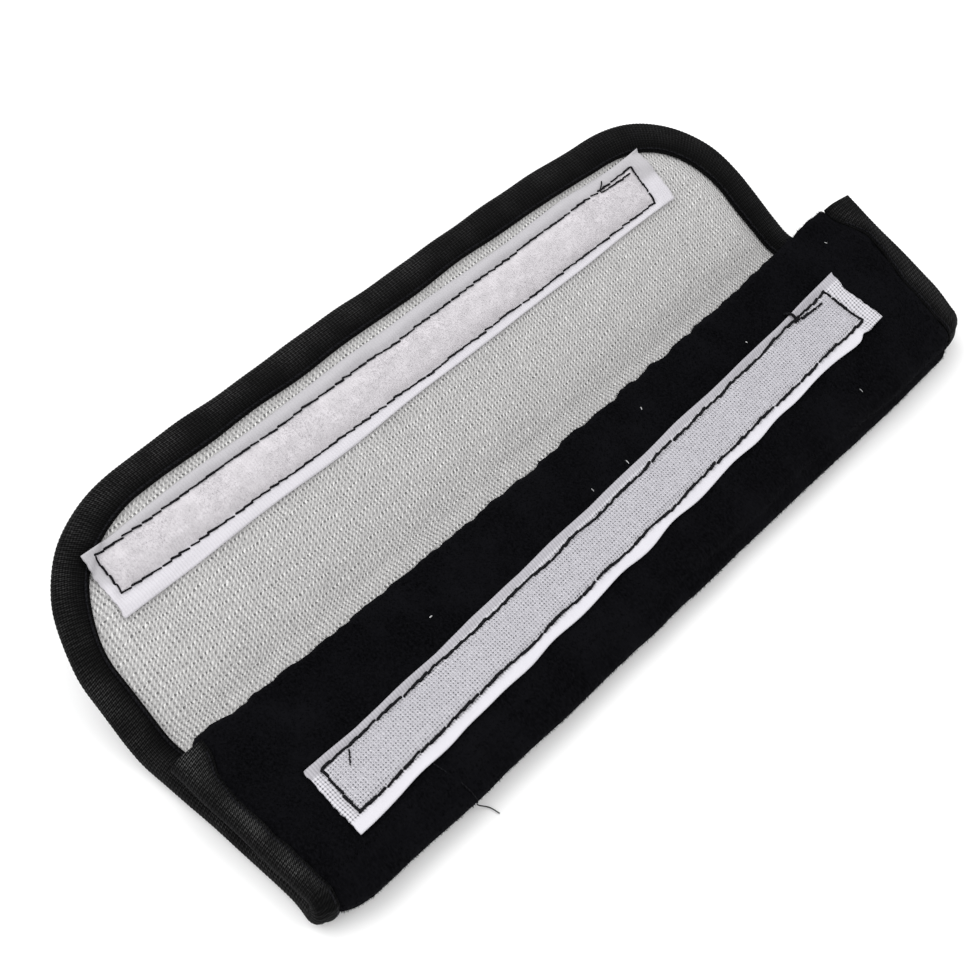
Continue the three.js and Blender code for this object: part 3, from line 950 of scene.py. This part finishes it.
def add_binding_seam(name, side, replaces):
    """The stitches through the tape, near its free edge on one face of the pad."""
    stations, along = rim_course(1)
    starts = np.arange(STITCH_PITCH, along[-1] - 2 * STITCH_PITCH, STITCH_PITCH)
    spots = starts[:, None] + STITCH_LENGTH * STITCH_SHARES
    base_x, base_s, out_x, out_s = (np.interp(spots, along, column) for column in stations.T)
    reach = tape_reach(base_x, base_s, side)
    inset = reach - TAPE_SEAM_INSET
    x, s = base_x - inset * out_x, base_s - inset * out_s
    sunk = 0 if side > 0 else 0.3
    add_stitches(name, x, s, leaf_height(inset, reach, spots, x, s) - sunk, side, replaces)


def strip_edges(strip, u):
    """The two long sides of a strip as it really lies, as v at each u."""
    half = strip.width / 2
    if strip is LOOP:
        taper = 0.35 * hump(u, -106, 20)
        return taper - half + 0.25 * waves(u, 0, 50, 81), half - taper + 0.25 * waves(u, 0, 60, 82)
    low = 0.9 - half - 0.9 * (u / 107) ** 6 + 0.12 * waves(u, 0, 22, 83)
    bulge = humps(u, (0.5, -102, 9), (-0.55, 78, 9), (0.5, 95.5, 8), (-1, 99.5, 1.6))
    return low, half - 0.25 + bulge + 0.26 * waves(u, 0, 14, 84)


def strip_ends(strip, v):
    """The two cut ends of a strip, as u at each v."""
    half = strip.length / 2
    share = v / strip.width
    fray = 0.15 * waves(v, 0, 2.2, 85)
    if strip is LOOP:
        return -half - 1.1 + 1.4 * share + fray, half - 0.2 * share + fray
    right = 1.5 * share + 0.55 * (2 * share) ** 2 - 0.7 * hump(v, -4, 3.5)
    return -half - 0.5 * share + fray, half - 0.6 + right + fray


def strip_rest(strip, x, s):
    """The height of what a strip lies on: the pad's face, or the binding over it."""
    if strip is HOOK:
        return plush_height(x, s)
    inset = inset_of(x, s)
    reach = tape_reach(x, s, 1)
    tape = (leaf_height(inset, reach, x + s, x, s) + TAPE_RIB_HEIGHT) * ramp(inset, reach + 1.5, reach - 0.5)
    return np.maximum(lining_height(x, s), tape)


def strip_lift(strip, u, v):
    """How far a strip's free edges and corners stand off the pad."""
    edge = ramp(-strip.seam_depth(u, v), 0.8, 3.4)
    lift = edge * (0.25 + 0.2 * waves(u, v, 17, 86))
    for end, side, rise in strip.curls:
        away = np.hypot(u - end * strip.length / 2, v - side * strip.width / 2)
        lift = lift + rise * ramp(away, 11, 0)
    return lift


def strip_top(strip, u, v):
    """The strip's thickness: thin at the selvages and the seam, fuller inside it."""
    depth = strip.seam_depth(u, v)
    inside = ramp(depth, 0.2, 2.6)
    pressed = 0.2 * hump(depth, 0, 0.7)
    if strip is LOOP:
        return 0.55 + 0.7 * ramp(depth, 0.2, 4.5) + 0.05 * waves(u, v, 5, 87) * inside - pressed
    return 0.6 + 0.3 * inside + 0.03 * waves(u, v, 4, 88) - pressed


def strip_height(strip, x, s):
    """The height of a strip's outer face over the middle of the pad."""
    u, v = strip.own(x, s)
    return strip_rest(strip, x, s) + LAYER_GAP + strip_lift(strip, u, v) + strip_top(strip, u, v)


def add_strip(strip, name, material, replaces):
    """A strip's tape, with its cut ends, its curled edges and the dents of its seam."""
    share = np.linspace(0, 1, STRIP_ROWS + 1)[:, None]
    u = between(*strip_ends(strip, (share - 0.5) * strip.width), np.linspace(0, 1, STRIP_COLUMNS + 1))
    v = between(*strip_edges(strip, u), share)
    x, s = strip.layout(u, v)
    top = strip_height(strip, x, s)
    bottom = strip_rest(strip, x, s) + LAYER_GAP + strip_lift(strip, u, v)
    numbers = np.arange(v.size).reshape(v.shape)
    border = np.concatenate([numbers[0], numbers[1:, -1], numbers[-1, -2::-1], numbers[-2::-1, 0]])
    low, high = (bottom, top) if strip.sense > 0 else (-top, -bottom)
    points, faces = closed_layer(x, s, grid_quads(numbers), border, low, high)
    pattern = np.stack([u, v, strip.seam_depth(u, v)], axis=-1)
    piece = add_piece(name, points, [faces[:, ::strip.sense]], material, [pattern, pattern], replaces)


def sew_strip(strip, name, back_height, seed, replaces):
    """The stitches that hold a strip, and those of the ring again on the pad's other face."""
    ring = strip.seam + strip.seam[:1]
    stitches = np.vstack([stitch_ends(ring, seed), stitch_ends(strip.second_run, seed + 1)])
    x, s = stitch_spots(strip, stitches)
    radius = THREAD_RADIUS * (1 if strip is LOOP else HOOK_THREAD_FULLER)
    add_stitches(name, x, s, strip_height(strip, x, s), strip.sense, replaces, radius)
    x, s = stitch_spots(strip, stitch_ends(ring, seed + 2))
    add_stitches(name + "_back", x, s, back_height(x, s), -strip.sense)


def stitch_spots(strip, stitches):
    """The places along each stitch. A hand-guided seam wanders a little from its line."""
    starts, ends = stitches[:, 0, :, None], stitches[:, 1, :, None]
    u, v = np.moveaxis(starts + (ends - starts) * STITCH_SHARES, 1, 0)
    wander = 0.14 * waves(u, 0.3 * v, 24, 133) if strip is LOOP else 0.32 * waves(u, 0.3 * v, 17, 134)
    bow, narrow = strip.seam_bend(u)
    return strip.layout(u, v * narrow + bow + wander)


# Loose ends

# Places of the flap's plush with a speck of lint, as x and how far in from the cut edge
LINT = [(80.9, 45.3), (25.8, 9.7), (109.7, 7.3), (65, 14.5), (10.8, 18.3), (-2.2, 17.8), (-59.8, 15.4)]
LINT_RADIUS = 0.13
LOOSE_THREAD_RADIUS = 0.2
NEARLY_UP = (0.1, 0.2, 1)


def rounded_path(points, rounds=3):
    """A path along a few points with its corners cut off again and again."""
    for _ in range(rounds):
        near = points[:-1] * 0.75 + points[1:] * 0.25
        far = points[:-1] * 0.25 + points[1:] * 0.75
        between = np.stack([near, far], axis=1).reshape(-1, 3)
        points = np.vstack([points[:1], between, points[-1:]])
    return points


def add_loose_thread(name, points, radius=LOOSE_THREAD_RADIUS):
    path = rounded_path(points)[None]
    add_tubes(name, path, NEARLY_UP, radius, bpy.data.materials["black_thread"])


def on_strip(strip, *spots):
    """Places over a strip's face, each given by u, v and how high it lies over the strip."""
    u, v, lift = np.array(spots).T
    x, s = strip.layout(u, v)
    return place(x, s, strip.sense * (strip_height(strip, x, s) + lift))


def add_loose_threads():
    """The uncut ends of the sewing, and a long one that lies over the fold down to the table."""
    path = on_strip(HOOK, (-95.3, -6.6, 0.2), (-95.8, -6, 0.5), (-96.6, -5, 0.3), (-98, -3.3, 0.2))
    add_loose_thread("hook_strip_thread_tail", path)
    path = on_strip(HOOK, (86.4, -6.2, 0.1), (86.7, -7.6, 0.5), (86.1, -8.8, 0.6), (85.2, -9.8, 0.3),
                    (84.8, -10.5, -0.6))
    add_loose_thread("hook_strip_thread_loop", path, 2 * LOOSE_THREAD_RADIUS)
    path = on_strip(LOOP, (86.4, 5.4, 0.1), (87, 6.2, 0.5), (88.4, 7.2, 0.4), (89.3, 8, 0.1))
    add_loose_thread("loop_strip_thread_tail", path)
    x, s = np.array([(-88, -17), (-87, -13), (-85, -9), (-83.6, -6), (-83, -3.6)]).T
    on_table = np.array([(-82.3, -61.4, 0.3), (-81.9, -62.6, 0.2), (-81.7, -64.6, 0.2)]) - SHIFT
    path = np.vstack([place(x, s, -plush_height(x, s) - 0.6), on_table])
    add_loose_thread("long_loose_thread", path, 0.8 * LOOSE_THREAD_RADIUS)


def add_lint():
    """Short pale fibres caught in the flap's plush."""
    random = np.random.default_rng(151)
    x, inward = np.array(LINT).T
    s = cut_edge(x) + inward
    at, up, across, along = outward(x, s, plush_height, -1)
    heading = random.uniform(0, math.pi, len(x))[:, None]
    ahead = across * np.cos(heading) + along * np.sin(heading)
    reach = random.uniform(0.25, 0.6, len(x))[:, None, None] * np.linspace(-1, 1, 5)[:, None]
    paths = at[:, None] + ahead[:, None] * reach + up[:, None] * (0.75 - 0.4 * reach * reach)
    pale = fibre_material("lint", grey(0.3), grey(0.7))
    add_tubes("plush_lint", paths, up[:, None], LINT_RADIUS, pale, sides=4)


# Piles and hooks

def outward(x, s, height, side):
    """The points on a face of the pad, with the way out and the way across there."""
    at = place(x, s, side * height(x, s))
    up = unit(place(x, s, side * (height(x, s) + 1)) - at)
    across = place(x + 0.5, s, side * height(x + 0.5, s)) - at
    across = unit(across - up * (across * up).sum(axis=-1, keepdims=True))
    return at, up, across, np.cross(up, across)


def add_spikes(name, material, x, s, roots, ways, up, lengths, widths):
    """Closed slim spikes of three sides, one for each root, but none that reach the table."""
    sideways = unit(np.cross(ways, up))
    other = np.cross(ways, sideways)
    corners = []
    for turn in (0, 2 * math.pi / 3, 4 * math.pi / 3):
        arm = sideways * math.cos(turn) + other * math.sin(turn)
        corners.append(roots + arm * widths / 2)
    tips = roots + ways * lengths
    clear = (row(tips)[:, 2] > 0) & (row(roots)[:, 2] > 0)
    points = np.stack([*corners, tips], axis=1)[clear]
    first = 4 * np.arange(len(points))[:, None, None]
    faces = (first + np.array([[0, 1, 3], [1, 2, 3], [2, 0, 3], [0, 2, 1]])).reshape(-1, 3)
    pattern = np.repeat(np.stack([x, s, np.arange(len(x))], axis=1)[clear], 4, axis=0)
    add_piece(name, points, [faces], material, pattern, smooth=False)


def add_pile(name, x, s, height, side, material, random, length, width, lean, sunk=0.15):
    """Fibres that stand on a face and lean, most of them the way that the nap lies."""
    at, up, across, along = outward(x, s, height, side)
    heading = math.pi * waves(x, s, 45, 91) + random.normal(0, 0.7, len(x))
    heading = heading[:, None]
    flat = across * np.cos(heading) + along * np.sin(heading)
    tilt = np.clip(random.normal(lean, 0.2, heading.shape), 0.1, 1.45)
    ways = up * np.cos(tilt) + flat * np.sin(tilt)
    lengths = length * random.uniform(0.6, 1.25, heading.shape)
    widths = width * random.uniform(0.7, 1.3, heading.shape)
    add_spikes(name, material, x, s, at - up * sunk, ways, up, lengths, widths)


def pile_roots(x, s):
    """The height of the plush, or of the tape where the pile overlaps it."""
    inset, reach = inset_of(x, s), tape_reach(x, s, -1)
    on_tape = ramp(reach + 0.4 - inset, 0, 0.5)
    return np.maximum(plush_height(x, s), (leaf_height(inset, reach, 0, x, s) + 0.1) * on_tape)


def add_plush_pile():
    """The pile of the flap and of the outer panel's edge, and the fuzz along the raw edge."""
    black = fibre_material("plush_pile", grey(0.001, 0.0002), grey(0.0045, 0.001), 0.015)
    random = np.random.default_rng(101)
    x = random.uniform(-HALF_LENGTH, HALF_LENGTH, FLAP_FIBRES)
    s = random.uniform(cut_edge(0) - 4, -1, FLAP_FIBRES)
    u, v = HOOK.own(x, s)
    bare = (np.abs(u) < HOOK.length / 2) & (np.abs(v) < HOOK.width / 2 - 0.3)
    overlap = 3 * random.uniform(0, 1, FLAP_FIBRES) ** 2 - 0.4
    free = (s > cut_line(x) + 0.1) & (inset_of(x, s) > tape_reach(x, s, -1) - overlap) & ~bare
    add_pile("plush_pile_flap", x[free], s[free], pile_roots, -1, black, random, 0.8, 0.17, 0.8)
    x = random.uniform(-HALF_LENGTH, HALF_LENGTH, OUTER_FIBRES)
    s = random.uniform(CREASE_START - 6, FAR_EDGE, OUTER_FIBRES)
    free = inset_of(x, s) > tape_reach(x, s, -1) - 0.3
    add_pile("plush_pile_outer", x[free], s[free], pile_roots, -1, black, random, 0.85, 0.22, 0.75)
    x = random.uniform(-RAW_CORNER_LEFT, RAW_CORNER_RIGHT, EDGE_FIBRES)
    s = cut_line(x) + random.uniform(-0.1, 0.5, EDGE_FIBRES)
    add_edge_fuzz(x, s, black, random)


def add_edge_fuzz(x, s, material, random):
    """The loose fibres that stand out past the flap's raw edge."""
    height = plush_height(x, s) - random.uniform(0, PLUSH_THICKNESS, len(x))
    at = place(x, s, -height)
    out = place(x, s - 1, -height) - at
    up = place(x, s, -(height + 1)) - at
    ways = out + up * random.normal(0.1, 0.4, len(x))[:, None] + random.normal(0, 0.35, (len(x), 3))
    lengths = random.uniform(0.4, 1.3, (len(x), 1))
    add_spikes("plush_edge_fuzz", material, x, s, at - 0.2 * out, unit(ways), up, lengths, 0.16)


def add_loop_pile():
    """The brushed loops inside the loop strip's seam."""
    white = fibre_material("loop_fibres", grey(0.48, 0.02, 0.02), grey(0.6, 0.02, 0.02))
    random = np.random.default_rng(111)
    u = random.uniform(-LOOP.length / 2, LOOP.length / 2, LOOP_FIBRES)
    v = random.uniform(-LOOP.width / 2, LOOP.width / 2, LOOP_FIBRES)
    inside = LOOP.seam_depth(u, v) > 0.5
    x, s = LOOP.layout(u[inside], v[inside])
    height = partial(strip_height, LOOP)
    add_pile("loop_strip_fibres", x, s, height, 1, white, random, 0.7, 0.12, 1.2, sunk=0.05)


HOOK_SHAPE = np.array([(-0.1, -0.2), (-0.1, 0.25), (0, 0.42), (0.16, 0.44), (0.26, 0.3)])
HOOK_RADIUS = np.array([0.13, 0.11, 0.11, 0.1, 0.06])


def add_hooks():
    """Rows of small bent hooks, every other row facing the other way."""
    random = np.random.default_rng(121)
    rows = math.ceil(HOOK.width / 2 / WEAVE_PITCH)
    columns = math.ceil(HOOK.length / 2 / WEAVE_PITCH)
    v, u = np.mgrid[-rows:rows + 1, -columns:columns + 1].reshape(2, -1)
    facing = np.where((v + rows) % 2 == 0, 1, -1)
    u, v = u * WEAVE_PITCH + random.normal(0, 0.05, u.size), v * WEAVE_PITCH
    inside = HOOK.seam_depth(u, v) > 0.8
    x, s = HOOK.layout(u[inside], v[inside])
    at, up, across, along = outward(x, s, partial(strip_height, HOOK), -1)
    bend = facing[inside] * random.uniform(0.85, 1.1, len(x))
    sideways, lift = HOOK_SHAPE.T
    aside = across[:, None] * (bend[:, None] * sideways)[..., None]
    paths = at[:, None] + aside + up[:, None] * lift[:, None]
    white = fibre_material("hook_fibres", grey(0.45, 0.04, 0.01), grey(0.59, 0.04, 0.01))
    add_tubes("hook_strip_hooks", paths, along[:, None], HOOK_RADIUS, white, sides=3)


# Camera, lights and floor

CAMERA_AZIMUTH = -47.43
CAMERA_ELEVATION = 49.23
CAMERA_DISTANCE = 480.19
CAMERA_TARGET = (-8.5, 5.71, 0)
CAMERA_LENS = 64.05
CAMERA_SENSOR = 36

# The lights, each with its place and size in metres and its power in watts
LIGHTS = [
    ("key", (-0.35, 0.55, 1.1), 1.5, 9.5),
    ("left_fill", (-0.7, -0.5, 0.9), 0.8, 3),
    ("right_fill", (0.4, -0.7, 0.9), 0.8, 3.2),
]
SKY_STRENGTH = 0.83
FLOOR_REACH = 3
FLOOR_DROP = 0.0002


def add_camera():
    azimuth, elevation = CAMERA_AZIMUTH * DEGREE, CAMERA_ELEVATION * DEGREE
    flat = math.cos(elevation)
    back = Vector((math.sin(azimuth) * flat, -math.cos(azimuth) * flat, math.sin(elevation)))
    data = bpy.data.cameras.new("camera")
    data.lens = CAMERA_LENS
    data.sensor_width = CAMERA_SENSOR
    data.clip_start = 0.01
    camera = add_object("camera", data)
    camera.location = (Vector(CAMERA_TARGET) + back * CAMERA_DISTANCE) * MM
    camera.rotation_euler = back.to_track_quat("Z", "Y").to_euler()
    bpy.context.scene.camera = camera


def add_light(name, spot, size, power):
    data = bpy.data.lights.new(name, "AREA")
    data.shape = "DISK"
    data.size = size
    data.energy = power
    light = add_object(name, data)
    light.location = spot
    light.rotation_euler = Vector(spot).to_track_quat("Z", "Y").to_euler()


def add_studio():
    """White light from all round, three lamps, and the pale floor that the pad lies on."""
    world = bpy.data.worlds.new("studio")
    world.use_nodes = True
    background = world.node_tree.nodes["Background"].inputs
    background["Color"].default_value = (1, 1, 1, 1)
    background["Strength"].default_value = SKY_STRENGTH
    bpy.context.scene.world = world
    bpy.context.scene.view_settings.view_transform = "Standard"
    for light in LIGHTS:
        add_light(*light)
    mesh = bpy.data.meshes.new("floor")
    sides = ((-1, -1), (1, -1), (1, 1), (-1, 1))
    corners = [(x * FLOOR_REACH, y * FLOOR_REACH, 0) for x, y in sides]
    mesh.from_pydata(corners, [], [(0, 1, 2, 3)])
    mesh.materials.append(floor_material())
    floor = add_object("floor", mesh)
    floor.location.z = -FLOOR_DROP


def main():
    add_camera()
    add_studio()
    add_layers()
    add_binding()
    thread_material()
    add_strip(LOOP, "loop_strip_tape", nap_material(), ["loop_strip"])
    add_strip(HOOK, "hook_strip_tape", hook_tape_material(), ["hook_strip"])
    sew_strip(LOOP, "loop_strip_stitches", plush_height, 131, ["loop_strip_stitching"])
    sew_strip(HOOK, "hook_strip_stitches", lining_height, 141, ["hook_strip_stitching"])
    add_binding_seam("binding_seam_lining_stitches", 1, ["binding_seam_lining_side"])
    add_binding_seam("binding_seam_plush_stitches", -1, ["binding_seam_plush_side"])
    add_loose_threads()
    add_plush_pile()
    add_loop_pile()
    add_hooks()
    add_lint()


main()
